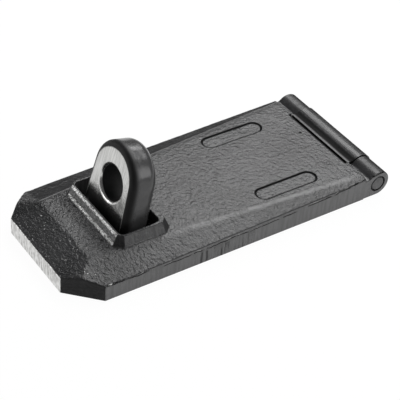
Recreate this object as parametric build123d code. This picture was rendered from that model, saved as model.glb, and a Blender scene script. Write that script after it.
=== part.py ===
from build123d import *
from math import cos, hypot, radians, sin, tan
import os

# Security hasp, closed on its mounting face. Millimetres.
# The mounting face is z = 0, the nose points to -Y and the hinge is at the +Y end.

# Cover: outline and the planes of its top
overall_length = 180.0        # nose to the back of the middle knuckle
cover_width = 78.0
top_height = 13.8             # mounting face to the flat top
nose_height = 9.2             # upper edge of the front face
nose_run = 15.4               # length of the sloped nose, seen from above
corner_cut = 15.0             # 45 degree cut at each front corner
bevel_width_front = 15.6      # side bevel beside the nose, seen from above
bevel_width_rear = 3.5        # side bevel at the hinge end
side_height = 8.9             # upper edge of the side wall, beside the corner cut
crest_radius = 6.0            # soft edges round the flat top
outline_radius = 0.8          # cast edges of the side walls

# Cover: hollow underside
roof_thickness = 4.5
nose_wall = 14.0              # front face to the hollow
side_wall_front = 12.5        # side wall's foot beside the nose
side_wall_rear = 6.0          # side wall's foot at the hinge end
hinge_wall = 15.6             # hinge axis to the hollow's rear wall
hollow_corner = 4.0
hollow_draft = 3.0            # degrees

# Cover: collar round the slot for the eye
collar_setback = 44.2         # front face to the middle of the collar
collar_width = 51.2           # across the hasp, at the collar's foot
collar_length = 30.4          # along the hasp, at the collar's foot
collar_corner = 4.4
collar_rise = 5.6             # above the flat top
collar_draft = 23.0           # degrees
collar_edge = 0.5
slot_width = 43.8
slot_length = 21.3
slot_corner = 2.5
slot_offset = 0.85            # middle of the slot to the middle of the collar, towards the nose

# Cover: two plain panels sunk in the top
panel_length = 34.6           # at the panel's floor, along the hasp
panel_width = 8.0
panel_depth = 0.5
panel_draft = 40.0            # degrees
panel_inset = 15.4            # cover's side to the middle of a panel
panel_setback = 46.6          # hinge axis to the middle of a panel

# Hinge
middle_knuckle_radius = 7.4   # stands on the mounting face
outer_knuckle_radius = 6.9
outer_knuckle_length = 15.2
knuckle_gap = 0.3             # end gap between neighbouring knuckles
knuckle_edge = 0.6
pin_radius = 4.0
pin_chamfer = 0.6
pin_clearance = 0.05          # radial running clearance in the middle knuckle
land_height = 11.6            # foot of the valley in front of the outer knuckles
land_radius = 4.0             # concave sweep from the land or the lip up to a knuckle
lip_height = 13.2             # fixed leaf's lip, in front of the middle knuckle
lip_reach = 8.25              # hinge axis to the front of the lip
lip_edge = 0.4
slit = 1.55                   # between the lip and the end of the flat top
web_reach = 8.2               # hinge axis to the end of the flat top, beside the knuckles
swing_clearance = 0.4         # round the lip, for the cover's swing

# Fixed plates under the cover
plate_thickness = 4.0
plate_corner = 4.0
plate_edge = 0.5
plate_clearance = 2.6         # plates to the walls of the hollow
bolt_hole_radius = 4.25
leaf_length = 90.6            # hinge axis to the leaf's front edge
leaf_hole_setback = 31.6      # hinge axis to the leaf's rear holes
leaf_hole_inset = 13.0        # leaf's front edge to its front holes
leaf_hole_side = 22.0         # cover's side to the leaf's holes
neck_radius = 2.0             # corner between the leaf's plate and its lip
plate_gap = 3.4               # leaf's front edge to the staple plate
staple_hole_inset = 8.0       # staple plate's front and rear edges to its holes
staple_hole_side = 23.0       # cover's side to the staple plate's holes

# Eye that stands through the slot, leaning back to keep clear of the cover's swing
eye_offset = 3.0              # middle of the collar to the middle of the padlock hole
eye_hole_height = 30.0
eye_hole_radius = 8.7
eye_hole_rim = 1.6
eye_lean = 13.4               # degrees towards the hinge
eye_thickness = 14.6
crown_radius = 17.0           # outer radius over the hole
crown_rise = 3.8              # centre of the crown above the hole
leg_flare = 4.4               # degrees that each side spreads towards the foot
eye_front_edge = 2.5
eye_rear_edge = 5.0
tenon_width = 22.0
tenon_depth = 9.0
tenon_corner = 2.0
peened_flare = 1.5            # spread of the tenon's end in the plate's countersink

# Places that follow from the sizes
half_width = cover_width / 2
nose_y = -overall_length / 2
hinge_y = overall_length / 2 - middle_knuckle_radius
hinge_z = middle_knuckle_radius
rim_z = hinge_z - outer_knuckle_radius
top_end_y = hinge_y - web_reach
hollow_top = top_height - roof_thickness
hollow_front_y = nose_y + nose_wall
hollow_rear_y = hinge_y - hinge_wall
channel_half = half_width - outer_knuckle_length
middle_half = channel_half - knuckle_gap
swing_radius = hypot(lip_reach, lip_height - hinge_z) + swing_clearance
collar_y = nose_y + collar_setback
leaf_front_y = hinge_y - leaf_length
staple_front_y = hollow_front_y + plate_clearance
staple_rear_y = leaf_front_y - plate_gap
eye_y = collar_y + eye_offset
eye_foot_y = eye_y - (eye_hole_height - plate_thickness) * tan(radians(eye_lean))
tolerance = 0.01              # for picking edges by their place
crest_point = Vector(half_width - bevel_width_front, nose_y + nose_run, top_height)

# Sections across the hinge are drawn as (Y, Z) and extruded along X
yz_plane = Plane(origin=(0, 0, 0), x_dir=(0, 1, 0), z_dir=(1, 0, 0))
eye_axis = Axis((0, eye_y, eye_hole_height), (0, -cos(radians(eye_lean)), sin(radians(eye_lean))))
eye_plane = Plane(origin=eye_axis.position, x_dir=(1, 0, 0), z_dir=eye_axis.direction)


def along_x(face, x0, x1):
    return Pos(x0, 0, 0) * extrude(yz_plane * face, x1 - x0)


def both_sides(solid):
    return solid + mirror(solid, about=Plane.YZ)


def meets_crest(edge):
    ends = [Vector(abs(v.X), v.Y, v.Z) for v in edge.vertices()]
    return any((end - crest_point).length < tolerance for end in ends)


def is_outline(edge):
    # On a wall of the cover's outline, but neither at its rim nor at the hinge end
    middle = edge.center()
    on_side = half_width - abs(middle.X) < tolerance
    on_front = middle.Y - nose_y < tolerance
    on_cut = half_width - abs(middle.X) + middle.Y - nose_y < corner_cut + tolerance
    on_rim = middle.Z - rim_z < tolerance
    return (on_side or on_front or on_cut) and not on_rim and middle.Y < top_end_y - tolerance


def is_hole_rim(edge):
    return edge.geom_type == GeomType.CIRCLE and abs(edge.radius - eye_hole_radius) < tolerance


def hollow_half_at(y):
    front = half_width - side_wall_front
    rear = half_width - side_wall_rear
    return front + (rear - front) * (y - hollow_front_y) / (hollow_rear_y - hollow_front_y)


def bevelled(solid):
    rear_point = Vector(half_width - bevel_width_rear, top_end_y, top_height)
    side_point = Vector(half_width, nose_y + corner_cut, side_height)
    normal = (side_point - crest_point).cross(rear_point - crest_point)
    for x_sign in (1, -1):
        origin = (x_sign * crest_point.X, crest_point.Y, crest_point.Z)
        bevel = Plane(origin=origin, z_dir=(x_sign * normal.X, normal.Y, normal.Z))
        solid = split(solid, bisect_by=bevel, keep=Keep.BOTTOM)
    return solid


def cover_blank():
    outline = make_face(
        Polyline(
            (half_width - corner_cut, nose_y),
            (half_width, nose_y + corner_cut),
            (half_width, top_end_y),
            (-half_width, top_end_y),
            (-half_width, nose_y + corner_cut),
            (-half_width + corner_cut, nose_y),
            close=True,
        )
    )
    blank = Pos(0, 0, rim_z) * extrude(outline, top_height - rim_z)
    nose = make_face(
        Polyline(
            (nose_y, nose_height),
            (nose_y + nose_run, top_height),
            (nose_y, top_height),
            close=True,
        )
    )
    blank = bevelled(blank - along_x(nose, -half_width, half_width))
    blank = fillet(blank.edges().filter_by(meets_crest), crest_radius)
    return fillet(blank.edges().filter_by(is_outline), outline_radius)


def from_hinge(length, z0, z1):
    block = Rectangle(length, z1 - z0, align=(Align.MAX, Align.MIN))
    return Pos(hinge_y, z0) * block


def knuckle_profile(radius, reach, foot_z, land_z):
    profile = from_hinge(reach, foot_z, land_z) + Pos(hinge_y, hinge_z) * Circle(radius)
    at_land = profile.vertices().filter_by_position(Axis.Y, land_z - tolerance, land_z + tolerance)
    return fillet(at_land.sort_by(Axis.X)[-1], land_radius)


def outer_knuckles():
    profile = knuckle_profile(outer_knuckle_radius, web_reach, rim_z, land_height)
    knuckle = along_x(profile, channel_half, half_width)
    round_edge = knuckle.faces().sort_by(Axis.X)[-1].edges().filter_by(GeomType.CIRCLE)
    return both_sides(fillet(round_edge, knuckle_edge))


def collar():
    # Its drafted walls run down past the flat top into the side bevels
    root_depth = roof_thickness / 2
    root_spread = 2 * root_depth * tan(radians(collar_draft))
    outline = Rectangle(collar_width + root_spread, collar_length + root_spread)
    outline = chamfer(outline.vertices(), collar_corner)
    ring = extrude(outline, root_depth + collar_rise, taper=collar_draft)
    return Pos(0, collar_y, top_height - root_depth) * ring


def sunk_panels():
    floor = SlotOverall(panel_length, panel_width, rotation=90)
    panel = extrude(floor, panel_depth, taper=-panel_draft)
    place = Pos(half_width - panel_inset, hinge_y - panel_setback, top_height - panel_depth)
    return both_sides(place * panel)


def hollow():
    front_half = hollow_half_at(hollow_front_y)
    rear_half = hollow_half_at(hollow_rear_y)
    mouth = make_face(
        Polyline(
            (front_half, hollow_front_y),
            (rear_half, hollow_rear_y),
            (-rear_half, hollow_rear_y),
            (-front_half, hollow_front_y),
            close=True,
        )
    )
    mouth = fillet(mouth.vertices(), hollow_corner)
    return Pos(0, 0, rim_z) * extrude(mouth, hollow_top - rim_z, taper=hollow_draft)


def hinge_channel():
    # Room for the fixed leaf's neck between the outer knuckles
    under_roof = from_hinge(hinge_wall + hollow_corner, 0, hollow_top)
    behind_roof = from_hinge(lip_reach + slit, 0, top_height)
    swing = Pos(hinge_y, hinge_z) * Circle(swing_radius)
    return along_x(under_roof + behind_roof + swing, -channel_half, channel_half)


def cover():
    body = cover_blank() + collar()
    slot = fillet(Rectangle(slot_width, slot_length).vertices(), slot_corner)
    body -= Pos(0, collar_y - slot_offset, 0) * extrude(slot, top_height + collar_rise)
    body = fillet(body.faces().sort_by(Axis.Z)[-1].edges(), collar_edge)
    body += outer_knuckles()
    body -= sunk_panels()
    body -= hollow()
    body -= hinge_channel()
    bore = along_x(Pos(hinge_y, hinge_z) * Circle(pin_radius), -half_width, half_width)
    return body - bore


def hinge_pin():
    pin = along_x(Pos(hinge_y, hinge_z) * Circle(pin_radius), -half_width, half_width)
    return chamfer(pin.edges().filter_by(GeomType.CIRCLE), pin_chamfer)


def bolt_holes(front_y, rear_y, side):
    hole = extrude(Circle(bolt_hole_radius), plate_thickness)
    places = GridLocations(cover_width - 2 * side, rear_y - front_y, 2, 2)
    return [Pos(0, (front_y + rear_y) / 2, 0) * place * hole for place in places]


def plate(front_y, rear_y, half):
    outline = fillet(Rectangle(2 * half, rear_y - front_y).vertices(), plate_corner)
    slab = Pos(0, (front_y + rear_y) / 2, 0) * extrude(outline, plate_thickness)
    return chamfer(slab.faces().sort_by(Axis.Z)[-1].edges(), plate_edge)


def leaf_neck(front_y):
    # Strip of the plate that rises to the lip and the middle knuckle
    profile = knuckle_profile(middle_knuckle_radius, lip_reach, 0, lip_height)
    lip_front_y = hinge_y - lip_reach
    lip_top = profile.vertices().sort_by_distance((lip_front_y, lip_height))[0]
    profile = fillet(lip_top, lip_edge) + from_hinge(hinge_y - front_y, 0, plate_thickness)
    neck_corner = profile.vertices().sort_by_distance((lip_front_y, plate_thickness))[0]
    return along_x(fillet(neck_corner, neck_radius), -middle_half, middle_half)


def hinge_leaf():
    wide_end_y = hollow_rear_y - plate_clearance
    leaf = plate(leaf_front_y, wide_end_y, hollow_half_at(leaf_front_y) - plate_clearance)
    leaf += leaf_neck(wide_end_y - plate_corner)
    leaf -= along_x(Pos(hinge_y, hinge_z) * Circle(pin_radius + pin_clearance), -middle_half, middle_half)
    rear_hole_y = hinge_y - leaf_hole_setback
    return leaf - bolt_holes(leaf_front_y + leaf_hole_inset, rear_hole_y, leaf_hole_side)


def tenon():
    outline = fillet(Rectangle(tenon_width, tenon_depth).vertices(), tenon_corner)
    shank = extrude(outline, plate_thickness)
    flare = fillet(
        Rectangle(tenon_width + 2 * peened_flare, tenon_depth + 2 * peened_flare).vertices(),
        tenon_corner + peened_flare,
    )
    return Pos(0, eye_foot_y, 0) * (shank + extrude(flare, peened_flare, taper=45))


def staple_plate():
    half = hollow_half_at(staple_front_y) - plate_clearance
    base = plate(staple_front_y, staple_rear_y, half) - tenon()
    front_hole_y = staple_front_y + staple_hole_inset
    return base - bolt_holes(front_hole_y, staple_rear_y - staple_hole_inset, staple_hole_side)


def eye_outline():
    # Round crown over two legs that spread from their points of tangency
    flare = radians(leg_flare)
    leg_length = eye_hole_height + crown_rise + crown_radius
    tangent_x = crown_radius * cos(flare)
    tangent_y = crown_rise + crown_radius * sin(flare)
    foot_x = tangent_x + leg_length * sin(flare)
    foot_y = tangent_y - leg_length * cos(flare)
    legs = make_face(
        Polyline(
            (tangent_x, tangent_y),
            (foot_x, foot_y),
            (-foot_x, foot_y),
            (-tangent_x, tangent_y),
            close=True,
        )
    )
    return legs + Pos(0, crown_rise) * Circle(crown_radius)


def staple_eye():
    eye = extrude(eye_plane * eye_outline(), eye_thickness / 2, both=True)
    eye = fillet(eye.faces().sort_by(eye_axis)[-1].edges(), eye_front_edge)
    eye = fillet(eye.faces().sort_by(eye_axis)[0].edges(), eye_rear_edge)
    eye -= extrude(eye_plane * Circle(eye_hole_radius), eye_thickness, both=True)
    eye = fillet(eye.edges().filter_by(is_hole_rim), eye_hole_rim)
    eye = split(eye, bisect_by=Plane.XY.offset(plate_thickness), keep=Keep.TOP)
    return eye + tenon()


os.makedirs("parts", exist_ok=True)
pieces = {
    "cover": cover(),
    "hinge_pin": hinge_pin(),
    "hinge_leaf": hinge_leaf(),
    "staple_plate": staple_plate(),
    "staple_eye": staple_eye(),
}
for name, piece in pieces.items():
    export_step(piece, f"parts/{name}.step")
    print(name, len(piece.solids()), round(piece.volume), piece.bounding_box())
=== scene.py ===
import bpy
import bmesh
from math import cos, radians, sin
from mathutils import Matrix, Vector


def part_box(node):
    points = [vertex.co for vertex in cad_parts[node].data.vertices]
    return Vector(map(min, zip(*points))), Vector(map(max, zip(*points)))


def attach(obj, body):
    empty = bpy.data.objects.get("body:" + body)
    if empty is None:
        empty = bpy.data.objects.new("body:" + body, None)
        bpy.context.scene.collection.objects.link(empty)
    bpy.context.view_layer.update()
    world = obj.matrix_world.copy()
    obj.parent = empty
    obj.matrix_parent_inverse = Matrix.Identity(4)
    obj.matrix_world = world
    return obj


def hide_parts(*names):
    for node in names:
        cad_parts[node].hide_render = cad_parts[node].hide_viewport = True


# Heavy hasp in black castings, shown closed on a white table. Lengths in the dictionaries are millimetres.
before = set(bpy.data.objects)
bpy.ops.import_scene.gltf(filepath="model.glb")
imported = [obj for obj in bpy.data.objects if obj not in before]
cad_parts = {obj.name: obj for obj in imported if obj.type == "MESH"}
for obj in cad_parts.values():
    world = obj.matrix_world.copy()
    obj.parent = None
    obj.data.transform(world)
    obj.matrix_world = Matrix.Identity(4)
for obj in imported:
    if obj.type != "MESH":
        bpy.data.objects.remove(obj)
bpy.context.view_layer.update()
mm = 0.001
scene = bpy.context.scene
scene.view_settings.view_transform = "Standard"
print("hasp: frame loaded with", len(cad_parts), "nodes")


# Small helpers for node trees
def plug(tree, socket, value):
    if isinstance(value, bpy.types.NodeSocket):
        tree.links.new(value, socket)
    else:
        socket.default_value = value


def addNode(tree, kind, inputs=None, **settings):
    node = tree.nodes.new(kind)
    for name, value in settings.items():
        setattr(node, name, value)
    for name, value in (inputs or {}).items():
        plug(tree, node.inputs[name], value)
    return node


def calc(tree, operation, *values):
    node = addNode(tree, "ShaderNodeMath", operation=operation)
    for socket, value in zip(node.inputs, values):
        plug(tree, socket, value)
    return node.outputs[0]


def times(tree, first, *others):
    for other in others:
        first = calc(tree, "MULTIPLY", first, other)
    return first


def most(tree, first, *others):
    for other in others:
        first = calc(tree, "MAXIMUM", first, other)
    return first


def apart(tree, first, second):
    # Straight distance, from two distances at right angles
    squares = calc(tree, "ADD", times(tree, first, first), times(tree, second, second))
    return calc(tree, "SQRT", squares)


def rise(tree, value, low, high, start=0.0, end=1.0):
    sizes = {"Value": value, "From Min": low, "From Max": high, "To Min": start, "To Max": end}
    return addNode(tree, "ShaderNodeMapRange", sizes, interpolation_type="SMOOTHSTEP").outputs[0]


def near(tree, value, middle, half, soft):
    off = calc(tree, "ABSOLUTE", calc(tree, "SUBTRACT", value, middle))
    return rise(tree, off, half + soft, half)


def scaled(tree, point, factor):
    return addNode(tree, "ShaderNodeVectorMath", {0: point, "Scale": factor}, operation="SCALE").outputs[0]


def noise(tree, point, scale, detail, stretch=None, rugged=0.5):
    if stretch:
        point = addNode(tree, "ShaderNodeVectorMath", {0: point, 1: stretch}, operation="MULTIPLY").outputs[0]
    sizes = {"Vector": point, "Scale": scale, "Detail": detail, "Roughness": rugged}
    return addNode(tree, "ShaderNodeTexNoise", sizes).outputs[0]


def waver(tree, point, scale, detail, spread):
    # Noise about zero
    return times(tree, calc(tree, "SUBTRACT", noise(tree, point, scale, detail), 0.5), spread)


def uneven(tree, value, middle, less, more):
    # Roughness that follows a noise over its usual span
    low, high = 0.2, 0.8
    return rise(tree, value, low, high, middle - less, middle + more)


def blendColours(tree, amount, first, second):
    node = addNode(tree, "ShaderNodeMix", data_type="RGBA")
    plug(tree, node.inputs[0], amount)
    plug(tree, node.inputs[6], first)
    plug(tree, node.inputs[7], second)
    return node.outputs[2]


def bump(tree, height, distance, below=None):
    node = addNode(tree, "ShaderNodeBump", {"Height": height, "Distance": distance * mm})
    if below:
        plug(tree, node.inputs["Normal"], below)
    return node.outputs[0]


def newFinish(name):
    material = bpy.data.materials.new(name)
    material.use_nodes = True
    tree = material.node_tree
    coords = addNode(tree, "ShaderNodeTexCoord").outputs
    point = scaled(tree, coords["Object"], 1 / mm)
    place = addNode(tree, "ShaderNodeSeparateXYZ", {0: point}).outputs
    return material, tree, tree.nodes["Principled BSDF"], point, place


def facingOf(tree):
    coords = addNode(tree, "ShaderNodeTexCoord").outputs
    return addNode(tree, "ShaderNodeSeparateXYZ", {0: coords["Normal"]}).outputs


# Camera at the photograph's viewing angle
viewpoint = {
    "place": (421.444, -306.429, 422.559),
    "right": (0.54939, 0.83339, 0.06022),
    "up": (-0.55110, 0.30723, 0.77582),
    "back": (0.62806, -0.45942, 0.62807),
    "lens": 122.1,
    "sensor": 36,
    "nearest": 10.0,
}


def addCamera(sizes):
    data = bpy.data.cameras.new("tableCamera")
    data.lens = sizes["lens"]
    data.sensor_width = sizes["sensor"]
    data.clip_start = sizes["nearest"] * mm
    camera = bpy.data.objects.new("tableCamera", data)
    turn = Matrix((sizes["right"], sizes["up"], sizes["back"])).transposed().to_4x4()
    camera.matrix_world = Matrix.Translation(Vector(sizes["place"]) * mm) @ turn
    scene.collection.objects.link(camera)
    scene.camera = camera


addCamera(viewpoint)
print("hasp: camera placed")

# Studio: a row of softboxes overhead behind the hasp, low fills on the right and in front, a pale table.
# Each lamp is its place, its size and its power.
studio = {
    "softboxes": [
        ((-920, 750, 1000), (660, 1000), 15.0),
        ((-450, 600, 1000), (280, 600), 4.3),
        ((0, 560, 1000), (620, 760), 9.0),
    ],
    "fills": [
        ((850, 500, 550), (700, 800), 5.0),
        ((-800, -900, 420), (1000, 700), 5.3),
    ],
    "worldGrey": 0.14,
    "tableReach": 4000,
    "tableDrop": 0.05,
    "tableGrey": 0.85,
    "tableWhite": 0.97,
}


def addSoftbox(name, place, aim, size, power):
    data = bpy.data.lights.new(name, "AREA")
    data.shape = "RECTANGLE"
    data.size = size[0] * mm
    data.size_y = size[1] * mm
    data.energy = power
    lamp = bpy.data.objects.new(name, data)
    lamp.location = Vector(place) * mm
    lamp.rotation_euler = (Vector(place) - Vector(aim)).to_track_quat("Z", "Y").to_euler()
    scene.collection.objects.link(lamp)


def addLights(sizes):
    for above, size, power in sizes["softboxes"]:
        addSoftbox("softbox", above, (above[0], above[1], 0), size, power)
    for beside, size, power in sizes["fills"]:
        addSoftbox("fill", beside, (0, 0, 0), size, power)
    world = bpy.data.worlds.new("studioWorld")
    world.use_nodes = True
    grey = sizes["worldGrey"]
    world.node_tree.nodes["Background"].inputs["Color"].default_value = (grey, grey, grey, 1)
    scene.world = world


def tableFinish(sizes):
    # White to the camera and in reflections, matt grey to the lamps
    material = bpy.data.materials.new("paleTable")
    material.use_nodes = True
    tree = material.node_tree
    tree.nodes.clear()
    pale = sizes["tableGrey"]
    matt = addNode(tree, "ShaderNodeBsdfDiffuse", {"Color": (pale, pale, pale, 1)})
    glow = addNode(tree, "ShaderNodeEmission", {"Strength": 1.0})
    path = addNode(tree, "ShaderNodeLightPath").outputs
    seen = most(tree, path["Is Camera Ray"], path["Is Glossy Ray"], path["Is Transmission Ray"])
    share = times(tree, seen, sizes["tableWhite"])
    mix = addNode(tree, "ShaderNodeMixShader", {0: share, 1: matt.outputs[0], 2: glow.outputs[0]})
    addNode(tree, "ShaderNodeOutputMaterial", {"Surface": mix.outputs[0]})
    return material


def addTable(sizes):
    reach = sizes["tableReach"] * mm
    drop = sizes["tableDrop"] * mm
    corners = [(-reach, -reach), (reach, -reach), (reach, reach), (-reach, reach)]
    mesh = bpy.data.meshes.new("table")
    mesh.from_pydata([(x, y, -drop) for x, y in corners], [], [(0, 1, 2, 3)])
    mesh.materials.append(tableFinish(sizes))
    table = bpy.data.objects.new("table", mesh)
    scene.collection.objects.link(table)


addLights(studio)
addTable(studio)
print("hasp: studio ready")

# Cover: black casting with a pebbled skin, its end ground bare and a rough seam along each side.
# In this and the other finishes a noise is (scale, detail, stretch), a waver (scale, detail, spread),
# a ramp (low, high, value at low, value at high), a band (middle, half width, softness) and
# a roughness (middle, less, more).
casting = {
    "coat": (0.014, 0.014, 0.0145, 1),
    "coatWorn": (0.026, 0.026, 0.027, 1),
    # The next two colours are painted shade and painted light on the black coat
    "coatPaintedShade": (0.004, 0.004, 0.004, 1),
    "coatPaintedLight": (0.112, 0.112, 0.113, 1),
    "coatRoughness": (0.20, 0.06, 0.08),
    "gloss": 0.30,
    "steel": (0.38, 0.38, 0.37, 1),
    "steelPale": (0.74, 0.74, 0.73, 1),
    # Painted highlight colour for the collar's two lines
    "steelGlint": (0.95, 0.95, 0.94, 1),
    "bareRougher": 0.12,
    "paintedShadeRougher": 0.5,
    "paintedShadeStrength": 0.9,
    "paintedShadeMetal": 0.8,
    "hingeRougher": (77.5, 79.5, 0.0, 0.16),
    "cloud": (0.045, 3.0),
    "cloudRamp": (0.35, 0.7),
    "stoneSize": 1.5,
    "stoneDepth": 0.10,
    "pebbleSize": 1.7,
    "pebbleDetail": 3.0,
    "pebbleRugged": 0.65,
    "pebbleDepth": 0.40,
    "grit": (2.0, 1.0),
    "gritDepth": 0.06,
    "noseGrain": (-15.0, -50.0, 1.0, 1.2),
    "hingeGrain": (72.0, 76.0, 1.0, 0.25),
    "noseRagged": (0.8, 3.0, 0.56),
    "noseEdge": (-89.72, -89.84),
    "noseLines": (1.0, 3.0, (1.6, 0.0, 0.07)),
    "mottle": (0.8, 4.0, (1.0, 1.0, 0.45)),
    "mottleRamp": (0.78, 1.16),
    "lineDepth": 0.10,
    "fleckScale": 0.6,
    "fleckEdge": (0.24, 0.15),
    "fleckChance": (0.74, 0.8, 0.0, 0.7),
    "fleckReach": (-68.6, -76.6),
    "fleckFacing": (0.8, 0.9),
    "sunkDepth": 0.25,
    "sideWall": (38.2, 38.6),
    "seamFront": (-75.0, 8.9),
    "seamRear": (74.4, 12.7),
    "seamSag": 2.1,
    "seamWaver": (0.14, 4.0, 2.4),
    "seamBand": (0.0, 0.1, 0.45),
    "seamGaps": (0.16, 3.0),
    "seamGapRamp": (0.36, 0.46),
    "burrBand": (0.55, 0.1, 0.3),
    "burrGaps": (0.3, 3.0),
    "burrGapRamp": (0.58, 0.66),
    "burrBright": 0.5,
    "sideFacing": (0.85, 0.97),
    "sidePlain": 0.75,
    "sidePaintedLight": (0.35, 0.65, 0.75, 1.0),
    "toolLines": (1.0, 2.0, (0.0, 0.62, 0.05)),
    "toolBand": (-12.0, 12.0, 9.0),
    "toolDepth": 2.4,
    "toolDark": (0.50, 0.38, 0.0, 0.7),
    "belowSeam": (-0.6, -1.4),
    "cutFacing": (0.40, 0.55),
    "cutDark": 0.6,
    "collarWall": (-59.8, 1.4, 0.3),
    "collarSides": (21.0, 20.6),
    "collarLines": ((14.6, 0.50, 0.45), (18.75, 0.40, 0.45)),
    "collarGlintFloor": 0.16,
    "collarPaintedLight": 0.4,
    "collarGlintMetal": 0.4,
    "speckle": (1.7, 2.0),
    "speckleRamp": (0.40, 0.54),
    "aheadBand": (-63.0, 1.6, 3.4),
    "aheadSides": (24.6, 20.6),
    "aheadFacing": (0.9, 0.97),
    "aheadGrain": 0.6,
    "aheadPits": (0.75, 2.0),
    "aheadPitRamp": (0.54, 0.66, 0.0, 0.8),
    "crestFront": (23.4, -74.6),
    "crestRear": (35.5, 74.4),
    "crestWaver": (0.2, 2.0, 1.6),
    "crestBand": (0.0, 0.3, 1.5),
    "crestHeight": (12.6, 13.0),
    "crestStart": (-45.0, -15.0),
    "crestEnd": (74.0, 66.0),
    "crestHighlightNoise": (0.4, 3.0),
    "crestHighlightRamp": (0.3, 0.6, 0.45, 1.0),
    "crestHighlight": 0.40,
    "crestPlain": 0.4,
    "farBevel": (-0.2, -1.6),
    "farBevelStart": (-78.0, -73.0),
    "farBevelPlain": 0.8,
    "panelMiddle": (23.6, 36.0),
    "panelStraight": 13.3,
    "panelBand": (4.2, 0.25, 0.45),
    "panelHeight": (12.5, 13.0),
    "pitPlace": (-8.2, 68.2, 13.8),
    "pitEdge": (0.9, 0.4),
    "hinge": (82.6, 7.4),
    "pinEdge": (4.7, 4.2),
    "backFacing": (0.15, 0.55),
    "backStart": (80.6, 82.6),
    "backDark": 0.9,
    "slitStart": (71.8, 72.3),
    "slitSides": (24.2, 23.8),
}


def seamLine(tree, point, place, sizes):
    # Broken seam along each side wall, sagging between its ends
    x, y, z = place
    (frontY, frontZ), (rearY, rearZ) = sizes["seamFront"], sizes["seamRear"]
    climb = (rearZ - frontZ) / (rearY - frontY)
    edge = calc(tree, "MULTIPLY_ADD", y, climb, frontZ - climb * frontY)
    along = times(tree, calc(tree, "SUBTRACT", y, (frontY + rearY) / 2), 2 / (rearY - frontY))
    sag = times(tree, calc(tree, "SUBTRACT", 1.0, times(tree, along, along)), sizes["seamSag"])
    off = calc(tree, "ADD", calc(tree, "SUBTRACT", z, edge), sag)
    off = calc(tree, "ADD", off, waver(tree, point, *sizes["seamWaver"]))
    beside = rise(tree, calc(tree, "ABSOLUTE", x), *sizes["sideWall"])
    broken = rise(tree, noise(tree, point, *sizes["seamGaps"]), *sizes["seamGapRamp"])
    seam = times(tree, near(tree, off, *sizes["seamBand"]), beside, broken)
    return off, seam, beside


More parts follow.
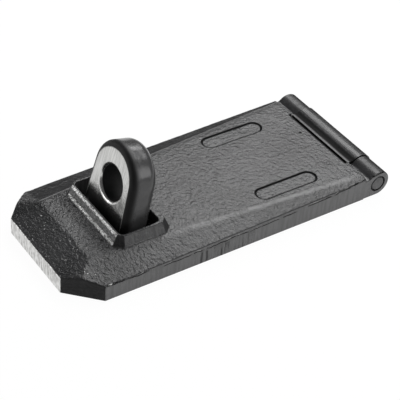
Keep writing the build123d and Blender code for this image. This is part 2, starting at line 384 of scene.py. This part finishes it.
def castingMasks(tree, point, place, sizes):
    # Where each kind of wear, painted shade and painted highlight lies on the cover
    x, y, z = place
    facing = facingOf(tree)
    across = calc(tree, "ABSOLUTE", x)
    sideways = calc(tree, "ABSOLUTE", facing[0])
    endways = calc(tree, "ABSOLUTE", facing[1])

    # Ground end of the nose, with a ragged upper edge
    ragged = waver(tree, point, *sizes["noseRagged"])
    bare = rise(tree, calc(tree, "ADD", y, ragged), *sizes["noseEdge"])

    # Bright flecks on the nose's slope
    cells = addNode(tree, "ShaderNodeTexVoronoi", {"Vector": point, "Scale": sizes["fleckScale"]})
    chance = addNode(tree, "ShaderNodeSeparateColor", {0: cells.outputs["Color"]}).outputs[0]
    fleck = times(
        tree,
        rise(tree, cells.outputs["Distance"], *sizes["fleckEdge"]),
        rise(tree, chance, *sizes["fleckChance"]),
        rise(tree, y, *sizes["fleckReach"]),
        rise(tree, facing[2], *sizes["fleckFacing"]),
    )

    # Painted highlights: two speckled metal lines along the collar's front wall, where its edges catch the
    # light
    wall = times(tree, near(tree, y, *sizes["collarWall"]), rise(tree, across, *sizes["collarSides"]))
    footLine, topLine = [near(tree, z, *band) for band in sizes["collarLines"]]
    speckle = rise(tree, noise(tree, point, *sizes["speckle"]), *sizes["speckleRamp"])
    collarGlint = times(tree, wall, most(tree, footLine, topLine, sizes["collarGlintFloor"]), speckle)

    # Rougher skin in front of the collar, with painted shade in its pits
    ahead = times(
        tree,
        near(tree, y, *sizes["aheadBand"]),
        rise(tree, across, *sizes["aheadSides"]),
        rise(tree, facing[2], *sizes["aheadFacing"]),
    )
    pits = rise(tree, noise(tree, point, *sizes["aheadPits"]), *sizes["aheadPitRamp"])
    pitted = times(tree, ahead, pits)

    # Seam along each side, with painted shade where the skin is grooved, and a rubbed burr above it
    off, seam, beside = seamLine(tree, point, place, sizes)
    torn = rise(tree, noise(tree, point, *sizes["burrGaps"]), *sizes["burrGapRamp"])
    burr = times(tree, near(tree, off, *sizes["burrBand"]), beside, torn)

    # Side walls with short upright tool marks below the seam, with painted shade in their grooves, and the
    # cut front corners, which get painted shade below
    side = rise(tree, sideways, *sizes["sideFacing"])
    marks = noise(tree, point, *sizes["toolLines"])
    marked = times(tree, near(tree, y, *sizes["toolBand"]), rise(tree, off, *sizes["belowSeam"]))
    scratch = times(tree, side, marked, rise(tree, marks, *sizes["toolDark"]))
    cut = times(tree, *[rise(tree, way, *sizes["cutFacing"]) for way in (sideways, endways)])

    # Painted highlight along the crests beside the flat top, from the middle to the hinge, broken by noise,
    # and the bevel beyond the far one
    (frontX, frontY), (rearX, rearY) = sizes["crestFront"], sizes["crestRear"]
    spread = (rearX - frontX) / (rearY - frontY)
    line = calc(tree, "MULTIPLY_ADD", y, spread, frontX - spread * frontY)
    beyond = calc(tree, "SUBTRACT", across, line)
    beyond = calc(tree, "ADD", beyond, waver(tree, point, *sizes["crestWaver"]))
    crest = times(
        tree,
        near(tree, beyond, *sizes["crestBand"]),
        rise(tree, z, *sizes["crestHeight"]),
        rise(tree, y, *sizes["crestStart"]),
        rise(tree, y, *sizes["crestEnd"]),
        rise(tree, noise(tree, point, *sizes["crestHighlightNoise"]), *sizes["crestHighlightRamp"]),
    )
    farBevel = rise(tree, calc(tree, "ADD", x, line), *sizes["farBevel"])
    farBevel = times(tree, farBevel, rise(tree, y, *sizes["farBevelStart"]))

    # Painted shade along the edges of the sunk panels and in a casting pit
    panelX, panelY = sizes["panelMiddle"]
    along = calc(tree, "ABSOLUTE", calc(tree, "SUBTRACT", y, panelY))
    along = most(tree, calc(tree, "SUBTRACT", along, sizes["panelStraight"]), 0.0)
    ring = apart(tree, along, calc(tree, "SUBTRACT", across, panelX))
    panel = times(tree, near(tree, ring, *sizes["panelBand"]), rise(tree, z, *sizes["panelHeight"]))
    hole = addNode(tree, "ShaderNodeVectorMath", {0: point, 1: sizes["pitPlace"]}, operation="DISTANCE")
    pit = rise(tree, hole.outputs["Value"], *sizes["pitEdge"])

    # Painted shade at the hinge: round the pin's ends, on the backs of the knuckles and in the slit in front
    # of the leaf
    hingeY, hingeZ = sizes["hinge"]
    ring = apart(tree, calc(tree, "SUBTRACT", y, hingeY), calc(tree, "SUBTRACT", z, hingeZ))
    pinEnd = times(tree, rise(tree, ring, *sizes["pinEdge"]), beside)
    back = times(tree, rise(tree, facing[1], *sizes["backFacing"]), rise(tree, y, *sizes["backStart"]))
    back = times(tree, back, sizes["backDark"])
    slit = times(tree, rise(tree, y, *sizes["slitStart"]), rise(tree, across, *sizes["slitSides"]))
    return {
        "bare": bare,
        "fleck": fleck,
        "wall": wall,
        "collarGlint": collarGlint,
        "ahead": ahead,
        "seam": seam,
        "burr": burr,
        "side": side,
        "marks": marks,
        "marked": marked,
        "cut": cut,
        "crest": crest,
        "farBevel": farBevel,
        "panel": panel,
        "pit": pit,
        "paintedShade": most(tree, panel, pinEnd, pitted, scratch, back, pit, seam, slit),
    }


def castingFinish(sizes):
    material, tree, shader, point, place = newFinish("blackCasting")
    y = place[1]
    masks = castingMasks(tree, point, place, sizes)
    bare, side, crest, paintedShade = [masks[name] for name in ("bare", "side", "crest", "paintedShade")]
    pebbles = noise(tree, point, 1 / sizes["pebbleSize"], sizes["pebbleDetail"], None, sizes["pebbleRugged"])
    grit = noise(tree, point, *sizes["grit"])
    stoneSizes = {"Vector": point, "Scale": 1 / sizes["stoneSize"]}
    stones = addNode(tree, "ShaderNodeTexVoronoi", stoneSizes, feature="SMOOTH_F1")
    stones = calc(tree, "SUBTRACT", 1.0, stones.outputs["Distance"])
    lines = noise(tree, point, *sizes["noseLines"])

    # Coat with painted shade in the grooves, pits, slit and cut corners and on the knuckles' backs, painted
    # light on the side walls, the collar's wall and the crests, and painted highlights on the collar's lines,
    # over steel that shows where it is gone
    cloud = rise(tree, noise(tree, point, *sizes["cloud"]), *sizes["cloudRamp"])
    coat = blendColours(tree, cloud, sizes["coat"], sizes["coatWorn"])
    # Painted light: a paler coat over the side walls, streaked along their tool marks, and over the collar's
    # front wall
    rubbedAndPaintedLight = times(tree, side, rise(tree, masks["marks"], *sizes["sidePaintedLight"]))
    rubbedAndPaintedLight = most(tree, rubbedAndPaintedLight, times(tree, masks["wall"], sizes["collarPaintedLight"]))
    # Painted highlight: the paler coat along the crests
    rubbedAndPaintedLight = most(tree, rubbedAndPaintedLight, times(tree, crest, sizes["crestHighlight"]))
    coat = blendColours(tree, rubbedAndPaintedLight, coat, sizes["coatPaintedLight"])
    # Painted shade: grooves, pits, gaps, the knuckles' backs and the cut corners darkened
    dark = most(tree, paintedShade, times(tree, masks["cut"], sizes["cutDark"]))
    coat = blendColours(tree, times(tree, dark, sizes["paintedShadeStrength"]), coat, sizes["coatPaintedShade"])
    # Painted highlights: bright steel on the collar's two lines
    coat = blendColours(tree, masks["collarGlint"], coat, sizes["steelGlint"])
    mottled = calc(tree, "ADD", noise(tree, point, *sizes["mottle"]), lines)
    steel = blendColours(tree, rise(tree, mottled, *sizes["mottleRamp"]), sizes["steel"], sizes["steelPale"])
    metal = most(tree, bare, masks["fleck"], times(tree, masks["burr"], sizes["burrBright"]))
    plug(tree, shader.inputs["Base Color"], blendColours(tree, metal, coat, steel))
    metal = most(tree, metal, times(tree, masks["collarGlint"], sizes["collarGlintMetal"]))
    metal = most(tree, metal, times(tree, paintedShade, sizes["paintedShadeMetal"]))
    plug(tree, shader.inputs["Metallic"], metal)
    plug(tree, shader.inputs["Specular IOR Level"], sizes["gloss"])
    rough = uneven(tree, pebbles, *sizes["coatRoughness"])
    rough = calc(tree, "ADD", rough, times(tree, bare, sizes["bareRougher"]))
    matt = most(tree, paintedShade, masks["cut"])
    rough = calc(tree, "ADD", rough, times(tree, matt, sizes["paintedShadeRougher"]))
    rough = calc(tree, "ADD", rough, rise(tree, y, *sizes["hingeRougher"]))
    plug(tree, shader.inputs["Roughness"], rough)

    # The pebbled skin is strongest towards the nose, weaker on ground and rubbed faces and at the hinge
    plain = most(tree, times(tree, side, sizes["sidePlain"]), times(tree, crest, sizes["crestPlain"]))
    plain = most(tree, plain, times(tree, masks["farBevel"], sizes["farBevelPlain"]))
    cast = calc(tree, "SUBTRACT", 1.0, most(tree, bare, plain))
    cast = times(tree, cast, rise(tree, y, *sizes["noseGrain"]), rise(tree, y, *sizes["hingeGrain"]))
    cast = times(tree, cast, calc(tree, "MULTIPLY_ADD", masks["ahead"], sizes["aheadGrain"], 1.0))
    normal = bump(tree, times(tree, stones, cast), sizes["stoneDepth"])
    normal = bump(tree, times(tree, pebbles, cast), sizes["pebbleDepth"], normal)
    normal = bump(tree, times(tree, grit, cast), sizes["gritDepth"], normal)
    scored = times(tree, masks["marks"], side, masks["marked"], sizes["toolDepth"])
    scored = calc(tree, "ADD", times(tree, lines, bare), scored)
    normal = bump(tree, scored, sizes["lineDepth"], normal)
    sunk = most(tree, masks["seam"], masks["pit"], masks["panel"])
    normal = bump(tree, calc(tree, "SUBTRACT", masks["fleck"], sunk), sizes["sunkDepth"], normal)
    plug(tree, shader.inputs["Normal"], normal)
    return material


# The cover's skin: each cut is a group of faces, the axes it is cut along and the cell's size.
# The values with spaces in their names are the inputs of the node group.
coverSkin = {
    "cuts": [
        ("top", (0, 1), 0.64),
        ("side", (2, 1), 0.64),
        ("corner", (0, 2), 1.28),
        ("hinge", (0, 1, 2), 1.28),
        ("under", (0, 1), 2.56),
        ("hollowEnd", (0, 2), 2.56),
    ],
    "sloping": 0.3,
    "upright": 0.1,
    "sideways": 0.9,
    "hollowTop": 9.3,
    "mergeWithin": 0.001,
    "flatWithin": 0.4,
    "leastEdge": 0.01,
    "Swell Size": 6.0,
    "Swell Depth": 0.12,
    "Dent Size": 2.0,
    "Dent Depth": 0.04,
    "Stone Size": 1.5,
    "Stone Depth": 0.05,
    "Seam Depth": 0.22,
    "Seed": 3.0,
    "smoothHinge": (66.0, 71.0),
    "smoothNose": (-89.2, -88.0),
    "smoothRim": (0.6, 2.0),
    "rimFacing": -0.999,
    "creaseAngle": 30.0,
}


def castSkinTree(seamSizes):
    tree = bpy.data.node_groups.new("castSkin", "GeometryNodeTree")
    tree.interface.new_socket("Geometry", in_out="INPUT", socket_type="NodeSocketGeometry")
    lumpNames = [f"{kind} {measure}" for kind in ("Swell", "Dent", "Stone") for measure in ("Size", "Depth")]
    for name in lumpNames + ["Seam Depth", "Seed"]:
        tree.interface.new_socket(name, in_out="INPUT", socket_type="NodeSocketFloat")
    tree.interface.new_socket("Finish", in_out="INPUT", socket_type="NodeSocketMaterial")
    tree.interface.new_socket("Geometry", in_out="OUTPUT", socket_type="NodeSocketGeometry")
    given = addNode(tree, "NodeGroupInput").outputs
    where = scaled(tree, addNode(tree, "GeometryNodeInputPosition").outputs[0], 1 / mm)

    # Swells, dents and stones rise and fall by their depth about the solid's own surface
    depth = 0.0
    for kind in ("Swell", "Dent"):
        lumpSizes = {"Vector": where, "W": given["Seed"], "Detail": 1.0}
        lumps = addNode(tree, "ShaderNodeTexNoise", lumpSizes, noise_dimensions="4D")
        plug(tree, lumps.inputs["Scale"], calc(tree, "DIVIDE", 1.0, given[kind + " Size"]))
        height = calc(tree, "SUBTRACT", lumps.outputs[0], 0.5)
        depth = calc(tree, "ADD", times(tree, height, given[kind + " Depth"], 2 * mm), depth)
    stones = addNode(tree, "ShaderNodeTexVoronoi", {"Vector": where}, feature="SMOOTH_F1")
    plug(tree, stones.inputs["Scale"], calc(tree, "DIVIDE", 1.0, given["Stone Size"]))
    height = calc(tree, "SUBTRACT", 0.5, stones.outputs["Distance"])
    depth = calc(tree, "ADD", times(tree, height, given["Stone Depth"], 2 * mm), depth)
    place = addNode(tree, "ShaderNodeSeparateXYZ", {0: where}).outputs
    seam = seamLine(tree, where, place, seamSizes)[1]
    depth = calc(tree, "SUBTRACT", depth, times(tree, seam, given["Seam Depth"], mm))

    mask = addNode(tree, "GeometryNodeInputNamedAttribute", {"Name": "castMask"}, data_type="FLOAT")
    outward = addNode(tree, "GeometryNodeInputNormal").outputs[0]
    move = scaled(tree, outward, times(tree, depth, mask.outputs[0]))
    moved = addNode(tree, "GeometryNodeSetPosition", {"Geometry": given["Geometry"], "Offset": move})
    whole = addNode(tree, "GeometryNodeRealizeInstances", {0: moved.outputs[0]}).outputs[0]
    dressed = addNode(tree, "GeometryNodeSetMaterial", {"Geometry": whole, "Material": given["Finish"]})
    addNode(tree, "NodeGroupOutput", {0: dressed.outputs[0]})
    return tree


def fade(value, low, high):
    return min(1.0, max(0.0, (value - low) / (high - low)))


def cutGroup(face, sizes):
    # Which of the cuts a face gets, if any
    middle = face.calc_center_median() / mm
    upward, aside = face.normal.z, abs(face.normal.x)
    sloping, upright = sizes["sloping"], upward > -sizes["upright"]
    inHollow = middle.z < sizes["hollowTop"] and middle.y > sizes["smoothNose"][0]
    if middle.y > sizes["smoothHinge"][1]:
        return "hinge"
    if upward < -sloping:
        return "under"
    if upward < sloping and aside < sloping and inHollow:
        return "hollowEnd"
    if upward > sloping:
        return "top"
    if upright and aside > sizes["sideways"]:
        return "side"
    if upright and aside > sloping:
        return "corner"
    return None


def slicedCopy(node, sizes):
    # The solid's own shape, cut into cells that a grain can move, the finest where the casting is seen
    bm = bmesh.new()
    bm.from_mesh(node.data)
    within = sizes["mergeWithin"] * mm
    bmesh.ops.remove_doubles(bm, verts=bm.verts, dist=within)
    bmesh.ops.dissolve_limit(bm, angle_limit=radians(sizes["flatWithin"]), verts=bm.verts, edges=bm.edges)
    low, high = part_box(node.name)
    groups = {name: [] for name, axes, cell in sizes["cuts"]}
    for f in bm.faces:
        group = cutGroup(f, sizes)
        if group:
            groups[group].append(f)
    for name, axes, cell in sizes["cuts"]:
        faces = groups[name]
        parts = faces + list(dict.fromkeys(e for f in faces for e in f.edges))
        parts += list(dict.fromkeys(v for f in faces for v in f.verts))
        for axis in axes:
            across = Vector((0, 0, 0))
            across[axis] = 1
            at = low[axis] + cell * mm / 2
            while at < high[axis]:
                plane = {"plane_co": across * at, "plane_no": across}
                parts = bmesh.ops.bisect_plane(bm, geom=parts, dist=within, **plane)["geom"]
                at += cell * mm
    bmesh.ops.dissolve_degenerate(bm, dist=sizes["leastEdge"] * mm, edges=bm.edges)
    bmesh.ops.triangulate(bm, faces=[f for f in bm.faces if len(f.verts) > 4])
    layer = bm.verts.layers.float.new("castMask")
    for v in bm.verts:
        hinge = 1 - fade(v.co.y / mm, *sizes["smoothHinge"])
        nose = fade(v.co.y / mm, *sizes["smoothNose"])
        rim = fade(v.co.z / mm, *sizes["smoothRim"])
        v[layer] = hinge * nose * rim
    mesh = bpy.data.meshes.new("coverSkin")
    bm.to_mesh(mesh)
    bm.free()
    return mesh


def applied(obj):
    bpy.context.view_layer.update()
    seen = obj.evaluated_get(bpy.context.evaluated_depsgraph_get())
    mesh = bpy.data.meshes.new_from_object(seen)
    obj.modifiers.clear()
    obj.data = mesh
    return mesh


def shadeEdges(mesh, sizes):
    # Creases stay sharp, and the flat rim under the cover is shaded flat
    mesh.set_sharp_from_angle(angle=radians(sizes["creaseAngle"]))
    rimTop = sizes["smoothRim"][0] * mm
    for face in mesh.polygons:
        if face.normal.z < sizes["rimFacing"] and face.center.z < rimTop:
            face.use_smooth = False


def dressCover(sizes, seamSizes, finish):
    piece = bpy.data.objects.new("coverSkin", slicedCopy(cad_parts["cover"], sizes))
    scene.collection.objects.link(piece)
    tree = castSkinTree(seamSizes)
    skin = piece.modifiers.new("castSkin", "NODES")
    skin.node_group = tree
    for item in tree.interface.items_tree:
        if item.in_out == "INPUT" and item.name in sizes:
            skin[item.identifier] = sizes[item.name]
        if item.name == "Finish":
            skin[item.identifier] = finish
    shadeEdges(applied(piece), sizes)
    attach(piece, "cover")
    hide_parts("cover")
    return piece


coverPiece = dressCover(coverSkin, casting, castingFinish(casting))
coverPiece.data.calc_loop_triangles()
print("hasp: cover dressed,", len(coverPiece.data.loop_triangles), "triangles")

# Eye: black forging whose front face and the hole's front edge are ground bright.
# Depths are measured from the front face, the rim's and the inside's edges from the hole's axis.
forging = {
    "coat": (0.034, 0.034, 0.0345, 1),
    "coatWorn": (0.046, 0.046, 0.047, 1),
    "coatShaded": (0.002, 0.002, 0.002, 1),
    "coatRoughness": (0.20, 0.05, 0.07),
    "cloud": (0.12, 3.0),
    "cloudRamp": (0.35, 0.7),
    "steel": (0.46, 0.46, 0.45, 1),
    "steelPale": (0.60, 0.60, 0.59, 1),
    "holeCentre": (0.0, -42.8, 30.0),
    "faceNormal": (0.0, -0.972776, 0.231748),
    "faceUp": (0.0, 0.231748, 0.972776),
    "faceAt": 7.3,
    "crownRise": 3.8,
    "legFlare": 4.4,
    "flatDepth": (-0.45, -0.12),
    "rimDepth": (-1.3, -0.8),
    "rimEdge": (10.6, 10.3),
    "insideDepth": (-1.0, -1.4),
    "insideEdge": (9.3, 8.9),
    "groundRagged": (0.6, 3.0, 0.3),
    "groundEdge": (13.9, 13.1),
    "groundFarShare": 0.92,
    "groundLines": (1.0, 3.0, (1.2, 0.1, 0.1)),
    "groundLineRamp": (0.3, 0.7),
    "groundLineDepth": 0.06,
    "borderDepth": (-4.6, -1.2),
    "borderDark": 0.8,
    "borderMetal": 0.7,
    "borderMatt": 0.6,
    "mattRougher": 0.6,
    "hammerSize": 4.0,
    "hammerDetail": 2.0,
    "hammerDepth": 0.12,
    "fine": (2.2, 2.0),
    "fineDepth": 0.02,
}


def forgingFinish(sizes):
    material, tree, shader, point, place = newFinish("forgedEye")
    x = place[0]
    centre = addNode(tree, "ShaderNodeVectorMath", {0: point, 1: sizes["holeCentre"]}, operation="SUBTRACT")
    ways = [{0: centre.outputs[0], 1: sizes[name]} for name in ("faceNormal", "faceUp")]
    dots = [addNode(tree, "ShaderNodeVectorMath", way, operation="DOT_PRODUCT") for way in ways]
    out, up = [dot.outputs["Value"] for dot in dots]
    ring = apart(tree, x, up)
    hammered = noise(tree, point, 1 / sizes["hammerSize"], sizes["hammerDetail"])
    fine = noise(tree, point, *sizes["fine"])
    lines = noise(tree, point, *sizes["groundLines"])

    # Ground where the wheel reached: the flat face and the hole's front edge
    ragged = waver(tree, point, *sizes["groundRagged"])
    depth = calc(tree, "SUBTRACT", calc(tree, "ADD", out, ragged), sizes["faceAt"])
    flat = rise(tree, depth, *sizes["flatDepth"])
    rim = times(tree, rise(tree, depth, *sizes["rimDepth"]), rise(tree, ring, *sizes["rimEdge"]))

    # How far out a point lies from the crown's centre, or from the middle of the legs below it
    flare = radians(sizes["legFlare"])
    aside = most(tree, x, times(tree, x, -sizes["groundFarShare"]))
    over = calc(tree, "SUBTRACT", up, sizes["crownRise"])
    level = calc(tree, "ADD", times(tree, aside, cos(flare)), times(tree, over, sin(flare)))
    above = calc(tree, "SUBTRACT", times(tree, over, cos(flare)), times(tree, aside, sin(flare)))
    reach = apart(tree, level, most(tree, above, 0.0))
    inner = rise(tree, calc(tree, "ADD", reach, ragged), *sizes["groundEdge"])
    ground = times(tree, most(tree, flat, rim), inner)

    # Painted shade: a dark border round the ground face, and the dark inside of the hole
    border = times(tree, calc(tree, "SUBTRACT", 1.0, inner), rise(tree, depth, *sizes["borderDepth"]))
    inside = times(tree, rise(tree, ring, *sizes["insideEdge"]), rise(tree, depth, *sizes["insideDepth"]))

    steel = rise(tree, lines, *sizes["groundLineRamp"])
    steel = blendColours(tree, steel, sizes["steel"], sizes["steelPale"])
    cloud = rise(tree, noise(tree, point, *sizes["cloud"]), *sizes["cloudRamp"])
    coat = blendColours(tree, cloud, sizes["coat"], sizes["coatWorn"])
    dark = most(tree, inside, times(tree, border, sizes["borderDark"]))
    coat = blendColours(tree, dark, coat, sizes["coatShaded"])
    plug(tree, shader.inputs["Base Color"], blendColours(tree, ground, coat, steel))
    plug(tree, shader.inputs["Metallic"], most(tree, ground, times(tree, border, sizes["borderMetal"])))
    rough = uneven(tree, fine, *sizes["coatRoughness"])
    matt = most(tree, inside, times(tree, border, sizes["borderMatt"]))
    rough = calc(tree, "ADD", rough, times(tree, matt, sizes["mattRougher"]))
    plug(tree, shader.inputs["Roughness"], rough)
    normal = bump(tree, hammered, sizes["hammerDepth"])
    normal = bump(tree, fine, sizes["fineDepth"], normal)
    normal = bump(tree, times(tree, lines, ground), sizes["groundLineDepth"], normal)
    plug(tree, shader.inputs["Normal"], normal)
    return material


# Fixed leaf and staple plate: rolled plate under the same black coat, drawn lines along the knuckle
rolled = {
    "coat": (0.014, 0.014, 0.0145, 1),
    "coatWorn": (0.026, 0.026, 0.027, 1),
    "coatPaintedShade": (0.003, 0.003, 0.003, 1),
    "coatRoughness": (0.28, 0.06, 0.08),
    "gloss": 0.33,
    "cloud": (0.06, 3.0),
    "cloudRamp": (0.35, 0.7),
    "drawn": (1.5, 3.0, (0.03, 1.0, 1.0)),
    "drawnDepth": 0.10,
    "turned": (0.9, 3.0, (1.0, 0.12, 0.12)),
    "turnedDepth": 0.08,
    "fine": (1.8, 2.0),
    "fineDepth": 0.04,
    "lipFront": (74.85, 74.45),
    "lipFrom": (60.0, 70.0),
    "valley": (77.6, 13.6),
    "valleyEdge": (2.4, 1.0, 0.0, 0.9),
    "backFacing": (0.15, 0.55),
    "backStart": (80.0, 82.0),
    "backDark": 0.9,
    "paintedShadeMetal": 0.8,
    "paintedShadeRougher": 0.5,
}


def rolledFinish(sizes):
    material, tree, shader, point, place = newFinish("rolledPlate")
    y, z = place[1], place[2]
    facing = facingOf(tree)
    drawn = noise(tree, point, *sizes["drawn"])
    turned = noise(tree, point, *sizes["turned"])
    fine = noise(tree, point, *sizes["fine"])

    # Painted shade on the lip's front, in the valley behind the lip and on the knuckle's back
    lip = times(tree, rise(tree, y, *sizes["lipFront"]), rise(tree, y, *sizes["lipFrom"]))
    valleyY, valleyZ = sizes["valley"]
    away = apart(tree, calc(tree, "SUBTRACT", y, valleyY), calc(tree, "SUBTRACT", z, valleyZ))
    back = times(tree, rise(tree, facing[1], *sizes["backFacing"]), rise(tree, y, *sizes["backStart"]))
    back = times(tree, back, sizes["backDark"])
    paintedShade = most(tree, lip, rise(tree, away, *sizes["valleyEdge"]), back)

    cloud = rise(tree, noise(tree, point, *sizes["cloud"]), *sizes["cloudRamp"])
    coat = blendColours(tree, cloud, sizes["coat"], sizes["coatWorn"])
    plug(tree, shader.inputs["Base Color"], blendColours(tree, paintedShade, coat, sizes["coatPaintedShade"]))
    plug(tree, shader.inputs["Specular IOR Level"], sizes["gloss"])
    plug(tree, shader.inputs["Metallic"], times(tree, paintedShade, sizes["paintedShadeMetal"]))
    rough = uneven(tree, drawn, *sizes["coatRoughness"])
    rough = calc(tree, "ADD", rough, times(tree, paintedShade, sizes["paintedShadeRougher"]))
    plug(tree, shader.inputs["Roughness"], rough)
    normal = bump(tree, drawn, sizes["drawnDepth"])
    normal = bump(tree, turned, sizes["turnedDepth"], normal)
    plug(tree, shader.inputs["Normal"], bump(tree, fine, sizes["fineDepth"], normal))
    return material


# Pin: coated rod, its turned ends rubbed lighter
rod = {
    "coat": (0.030, 0.030, 0.031, 1),
    "coatRoughness": (0.38, 0.05, 0.08),
    "endWorn": (0.075, 0.075, 0.076, 1),
    "endFrom": (38.2, 38.8),
    "endWear": (0.5, 3.0),
    "endWearRamp": (0.3, 0.7),
    "fine": (1.6, 2.0),
    "fineDepth": 0.06,
}


def rodFinish(sizes):
    material, tree, shader, point, place = newFinish("coatedPin")
    atEnd = rise(tree, calc(tree, "ABSOLUTE", place[0]), *sizes["endFrom"])
    rubbedAndPaintedLight = times(tree, atEnd, rise(tree, noise(tree, point, *sizes["endWear"]), *sizes["endWearRamp"]))
    fine = noise(tree, point, *sizes["fine"])
    plug(tree, shader.inputs["Base Color"], blendColours(tree, rubbedAndPaintedLight, sizes["coat"], sizes["endWorn"]))
    plug(tree, shader.inputs["Roughness"], uneven(tree, fine, *sizes["coatRoughness"]))
    plug(tree, shader.inputs["Normal"], bump(tree, fine, sizes["fineDepth"]))
    return material


def coatNode(name, finish):
    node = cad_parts[name]
    for place in node.material_slots:
        place.material = finish


coatNode("staple_eye", forgingFinish(forging))
rolledPlate = rolledFinish(rolled)
coatNode("hinge_leaf", rolledPlate)
coatNode("staple_plate", rolledPlate)
coatNode("hinge_pin", rodFinish(rod))
print("hasp: eye, plates and pin coated")
